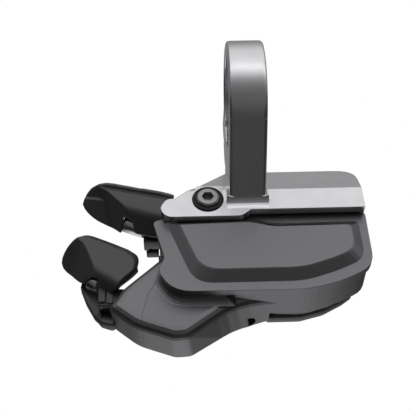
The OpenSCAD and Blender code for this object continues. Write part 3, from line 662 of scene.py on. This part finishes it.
# Pieces of each lever as corners, the corners' cut, lowest and highest w and radius of the edges.
# The arm carries the hub, the finger presses the switch and the rest is the outer end.
UPPER_LEVER = {
    "arm": ([(-14, -27), (-14, -21.9), (-21, -18.8), (-24.6, -18.8), (-24.6, -24.2), (-20, -24.6)],
            0.6, -25.6, -22.4, 0.25),
    "finger": ([(-13, -27.5), (-6, -27.2), (-6, -25.4), (-13, -23.9)], 0.3, -25.4, -22.8, 0.2),
    "web": ([(-24.8, -24.3), (-23.4, -24.3), (-23.4, -20), (-24.8, -20)], 0.3, -26.2, -22.6, 0.15),
    "side": ([(-23.2, -24.2), (-21.7, -24.2), (-21.7, -20), (-23.2, -20)], 0.3, -26, -22.6, 0.15),
    "foot": ([(-24.3, -24.6), (-21.3, -24.6), (-21.3, -19.6), (-24.3, -19.6)], 0.4, -28.8, -26.5, 0.3),
}
LOWER_LEVER = {
    "arm": ([(-20.4, -42.8), (-20.4, -38.6), (-33.4, -37.4), (-34.8, -39.6), (-34.8, -42.2),
             (-31.2, -42.3)], 0.6, -25.6, -22.6, 0.25),
    "finger": ([(-19.4, -43.2), (-13, -42), (-13, -40.2), (-19.4, -39.6)], 0.3, -25.4, -22.8, 0.2),
    "band": ([(-39.2, -32.8), (-39.6, -34.6), (-38.1, -38.6), (-36, -42.6), (-34.2, -44.4),
              (-33.4, -43), (-33.4, -39), (-34, -36), (-38, -32.8)], 0.4, -28.4, -26, 0.35),
    "block": ([(-35.8, -42.4), (-34.4, -44.4), (-31.8, -45.4), (-30.6, -44.6), (-30.8, -41.6),
               (-34.6, -40.6)], 0.5, -28.6, -26, 0.3),
    "web": ([(-34.8, -41.6), (-33.2, -41.6), (-33.2, -37.6), (-34.8, -37.6)], 0.3, -26.4, -22, 0.15),
    "tab": ([(-33, -41.9), (-31.4, -41.9), (-31.4, -37.8), (-33, -37.8)], 0.3, -25.8, -22.2, 0.2),
}


# Posts as start, turn in degrees from u towards v, radius and length
UPPER_POST = ((-23.4, -20.9, -22.4), 157, 2.35, 6.3)
LOWER_POST = ((-32.6, -36.2, -25), 149, 2.4, 5.2)
POST_EDGE = 0.35


def lever_post(start, turn, radius, length):
    """A polished round post, level in the tilted frame, that a paddle is clamped on."""
    turn = math.radians(turn)
    return rounded_rod(start, (math.cos(turn), math.sin(turn), 0), radius, length, POST_EDGE)


def lever_parts(pivot, pieces):
    """The hub on its pin and the blocks of one lever."""
    hub = rounded_rod((*pivot, HUB_LOW), **HUB)
    return [hub] + [rounded_block(*piece) for piece in pieces.values()]


# Stage and camera

# Studio sweep in metres, its dome's height as a share of its radius, and its rings
DOME_RADIUS = 1.5
DOME_RISE = 0.9
DOME_STEPS = 48
FLOOR_STEPS = 12
FLOOR_MIDDLE = 0.02


def sweep_profile(floor_z):
    """Profile of the studio sweep: a flat floor that turns up into a dome, as radius and height."""
    turn = np.linspace(0, math.pi / 2, DOME_STEPS)
    wall_z = floor_z + DOME_RADIUS * DOME_RISE * np.sin(turn)
    wall = np.stack([DOME_RADIUS * np.cos(turn), wall_z], 1)
    reach = np.linspace(FLOOR_MIDDLE, DOME_RADIUS, FLOOR_STEPS)[:-1]
    floor = np.stack([reach, np.full(len(reach), floor_z)], 1)
    return np.concatenate([floor, wall[:-1]])


# Light by the angle in degrees about the handlebar: 0 is the front horizon and 90 is overhead
LIGHT_PEAK = 1.6
LIGHT_BY_ANGLE = [
    (-180, 0.25), (-150, 0.30), (-120, 0.50), (-95, 1.1), (-75, 1.0), (-50, 0.15), (-25, 0.07),
    (0, 0.10), (15, 0.15), (30, 0.15), (47, 0.23), (59, 0.40), (71, 0.88), (83, LIGHT_PEAK),
    (97, 1.15), (105, 1.03), (129, 0.96), (155, 0.42), (180, 0.25)]


def world_glow(light):
    """Studio light by direction: a soft box overhead, a bright floor below and a dark horizon.

    The direction's angle about the handlebar runs from the front horizon, over the top and to the
    rear; the stops give the light at each angle, and two more ramps let it fall off to the sides.
    """
    world = bpy.data.worlds.new("studio")
    graph = Graph(world)
    direction = graph.node("ShaderNodeTexCoord", output="Generated")
    parts = {axis: graph.node("ShaderNodeSeparateXYZ", {}, {0: direction}, axis) for axis in (0, 1, 2)}
    angle = parts[2].math("ARCTAN2", -parts[1])
    share = angle * (0.5 / math.pi) + 0.5
    stops = [(0.5 + degrees / 360, value / LIGHT_PEAK) for degrees, value in LIGHT_BY_ANGLE]
    height = graph.ramp(share, stops) * LIGHT_PEAK
    across = parts[0] * 0.5 + 0.5
    above = graph.ramp(across, [(0, 0.2), (0.14, 0.5), (0.32, 1), (0.86, 1), (1, 0.3)])
    below = graph.ramp(across, [(0, 0.1), (0.2, 0.14), (0.38, 1), (0.62, 1), (0.8, 0.14), (1, 0.1)])
    side = (parts[2] * 4 + 0.5).limited()
    level = height * (above * side + below * (1 - side))
    sky = graph.node("ShaderNodeBackground", {}, {"Color": level, "Strength": light.strength})
    graph.node("ShaderNodeOutputWorld", {}, {"Surface": sky})
    return world


SENSOR_WIDTH = 36
NEAREST_SEEN = 0.01


def camera_basis(azimuth, elevation, roll):
    """Right, up and back of a camera turned about the object, as rows."""
    back = np.array([math.sin(azimuth) * math.cos(elevation),
                     -math.cos(azimuth) * math.cos(elevation), math.sin(elevation)])
    right = np.cross(-back, [0, 0, 1.0])
    right /= np.linalg.norm(right)
    up = np.cross(back, right)
    turned_right = right * math.cos(roll) - up * math.sin(roll)
    turned_up = right * math.sin(roll) + up * math.cos(roll)
    return turned_right, turned_up, back


def add_camera(view):
    """A camera that sees the centre of the clamp ring up and to the right of the picture's centre."""
    right, up, back = camera_basis(view.azimuth, view.elevation, view.roll)
    spot = back * view.distance - right * view.ring_right - up * view.ring_up
    data = bpy.data.cameras.new("camera")
    data.lens = view.lens
    data.sensor_width = SENSOR_WIDTH
    data.clip_start = NEAREST_SEEN
    camera = bpy.data.objects.new("camera", data)
    pose = np.eye(4)
    pose[:3] = np.stack([right, up, back, spot], 1)
    camera.matrix_world = Matrix(pose.tolist())
    bpy.context.collection.objects.link(camera)
    bpy.context.scene.camera = camera


# Settings that a user changes

class ShifterStage(bpy.types.PropertyGroup):
    """Camera and studio."""

    azimuth: FloatProperty(name="Azimuth", description="Turn of the camera about the object",
                           default=math.radians(-1.75), subtype="ANGLE")
    elevation: FloatProperty(name="Elevation", description="Height of the camera above the horizon",
                             default=math.radians(25), subtype="ANGLE")
    roll: FloatProperty(name="Roll", description="Lean of the camera about its own view",
                        default=math.radians(0.55), subtype="ANGLE")
    distance: FloatProperty(name="Distance", description="Camera to the clamp ring, along the view",
                            default=0.2, unit="LENGTH")
    ring_right: FloatProperty(name="Ring to the right", description="Clamp ring's place in the view",
                              default=0.008643, unit="LENGTH", precision=5)
    ring_up: FloatProperty(name="Ring up", description="Clamp ring's place in the view",
                           default=0.025619, unit="LENGTH", precision=5)
    lens: FloatProperty(name="Lens", description="Focal length in millimetres", default=72.69)
    strength: FloatProperty(name="Light", description="Strength of the studio light", default=1.0)
    floor_drop: FloatProperty(name="Floor", description="Height of the floor below the object",
                              default=0.045, unit="LENGTH")
    floor_colour: FloatVectorProperty(name="Floor colour", description="Plain pale floor",
                                      default=(1.0, 1.0, 1.0), subtype="COLOR")


class ShifterLook(bpy.types.PropertyGroup):
    """Tones of the painted and moulded pieces, and the paddles' edge and thickness."""

    cover_tone: FloatProperty(name="Cover", description="Grey of the cover's paint", default=0.155)
    shell_tone: FloatProperty(name="Shell", description="Grey of the shell's paint", default=0.15)
    paddle_tone: FloatProperty(name="Paddles", description="Grey of the paddles", default=0.054)
    paddle_lip: FloatProperty(name="Paddle lip", description="Radius of the paddles' edges",
                              default=0.0005, unit="LENGTH", precision=5)
    paddle_wall: FloatProperty(name="Paddle wall", description="Thickness of the paddles",
                               default=0.0026, unit="LENGTH", precision=5)


# Operators

class SHIFTER_OT_stage(bpy.types.Operator):
    """Makes the pale floor, the studio light and the camera"""

    bl_idname = "shifter.stage"
    bl_label = "Stage"

    def execute(self, context):
        stage = context.scene.shifter_stage
        add_camera(stage)
        context.scene.world = world_glow(stage)
        context.scene.view_settings.view_transform = "Standard"
        floor_z = CAD_BOX[0].z - stage.floor_drop
        points, faces = ring_stack(spun(sweep_profile(floor_z), RING_SIDES))
        mesh = bpy.data.meshes.new("studio_floor")
        mesh.from_pydata(points, [], faces)
        material, graph = new_graph("studio_floor")
        glow = graph.node("ShaderNodeEmission", {}, {"Color": (*stage.floor_colour, 1.0)})
        graph.node("ShaderNodeOutputMaterial", {}, {"Surface": glow})
        mesh.materials.append(material)
        floor = bpy.data.objects.new("studio_floor", mesh)
        context.collection.objects.link(floor)
        for rays in ("visible_diffuse", "visible_glossy", "visible_transmission", "visible_shadow"):
            setattr(floor, rays, False)
        return {"FINISHED"}


class SHIFTER_OT_finishes(bpy.types.Operator):
    """Makes the materials and dresses the CAD nodes that stay"""

    bl_idname = "shifter.finishes"
    bl_label = "Finishes"

    def execute(self, context):
        make_finishes(context.scene.shifter_look)
        for part in frame["record"]["subparts"]:
            dress(part["node"], part["material_slot"])
        return {"FINISHED"}


class SHIFTER_OT_paddles(bpy.types.Operator):
    """Makes the two thumb paddles"""

    bl_idname = "shifter.paddles"
    bl_label = "Paddles"

    def execute(self, context):
        look = context.scene.shifter_look
        lip, wall = look.paddle_lip / MM, look.paddle_wall / MM
        upper = paddle_skin(UPPER_PLATE, UPPER_RAILS, upper_surface, lip, wall)
        add_piece("upper_paddle_skin", [upper], "paddle_plastic", UPPER, ["upper_paddle"])
        lower = paddle_skin(LOWER_PLATE, LOWER_RAILS, lower_surface, lip, wall)
        add_piece("lower_paddle_skin", [lower], "paddle_plastic", LOWER, ["lower_paddle"])
        return {"FINISHED"}


class SHIFTER_OT_levers(bpy.types.Operator):
    """Makes the two lever arms with the posts that carry the paddles"""

    bl_idname = "shifter.levers"
    bl_label = "Levers"

    def execute(self, context):
        add_piece("upper_lever_arm", lever_parts(UPPER_PIVOT, UPPER_LEVER), "lever_plastic", UPPER,
                  ["upper_lever", "upper_paddle_screw"])
        add_piece("lower_lever_arm", lever_parts(LOWER_PIVOT, LOWER_LEVER), "lever_plastic", LOWER,
                  ["lower_lever", "lower_paddle_screw"])
        add_piece("upper_post", [lever_post(*UPPER_POST)], "pin_steel", UPPER)
        add_piece("lower_post", [lever_post(*LOWER_POST)], "pin_steel", LOWER)
        return {"FINISHED"}


class SHIFTER_OT_housing_details(bpy.types.Operator):
    """Makes the bracket bolt's black ring and the battery door's rim"""

    bl_idname = "shifter.housing_details"
    bl_label = "Housing details"

    def execute(self, context):
        # The bolt ring is a black annulus that darkens the counterbore round the bolt's head, in the seal's
        # black rubber finish.
        add_piece("bracket_bolt_ring", [bolt_ring()], "seal_rubber", HOUSING)
        add_piece("battery_door_rim", door_rim_parts(), "door_plastic", HOUSING)
        return {"FINISHED"}


class SHIFTER_PT_panel(bpy.types.Panel):
    """Sizes, tones and the steps that build the shifter"""

    bl_idname = "SHIFTER_PT_panel"
    bl_label = "Bicycle Shifter"
    bl_space_type = "VIEW_3D"
    bl_region_type = "UI"
    bl_category = "Shifter"

    def draw(self, context):
        for group in (context.scene.shifter_stage, context.scene.shifter_look):
            box = self.layout.box()
            for name in group.bl_rna.properties.keys():
                if name not in ("rna_type", "name"):
                    box.prop(group, name)
        for step in OPERATORS:
            self.layout.operator(step.bl_idname)


GROUPS = {"shifter_stage": ShifterStage, "shifter_look": ShifterLook}
OPERATORS = (SHIFTER_OT_stage, SHIFTER_OT_finishes, SHIFTER_OT_paddles, SHIFTER_OT_levers,
             SHIFTER_OT_housing_details)


def register():
    for kind in (*GROUPS.values(), *OPERATORS, SHIFTER_PT_panel):
        bpy.utils.register_class(kind)
    for name, kind in GROUPS.items():
        setattr(bpy.types.Scene, name, PointerProperty(type=kind))


def unregister():
    for name in GROUPS:
        delattr(bpy.types.Scene, name)
    for kind in reversed((*GROUPS.values(), *OPERATORS, SHIFTER_PT_panel)):
        bpy.utils.unregister_class(kind)


def main():
    register()
    bpy.ops.shifter.stage()
    bpy.ops.shifter.finishes()
    bpy.ops.shifter.paddles()
    bpy.ops.shifter.levers()
    bpy.ops.shifter.housing_details()


if __name__ == "__main__":
    main()
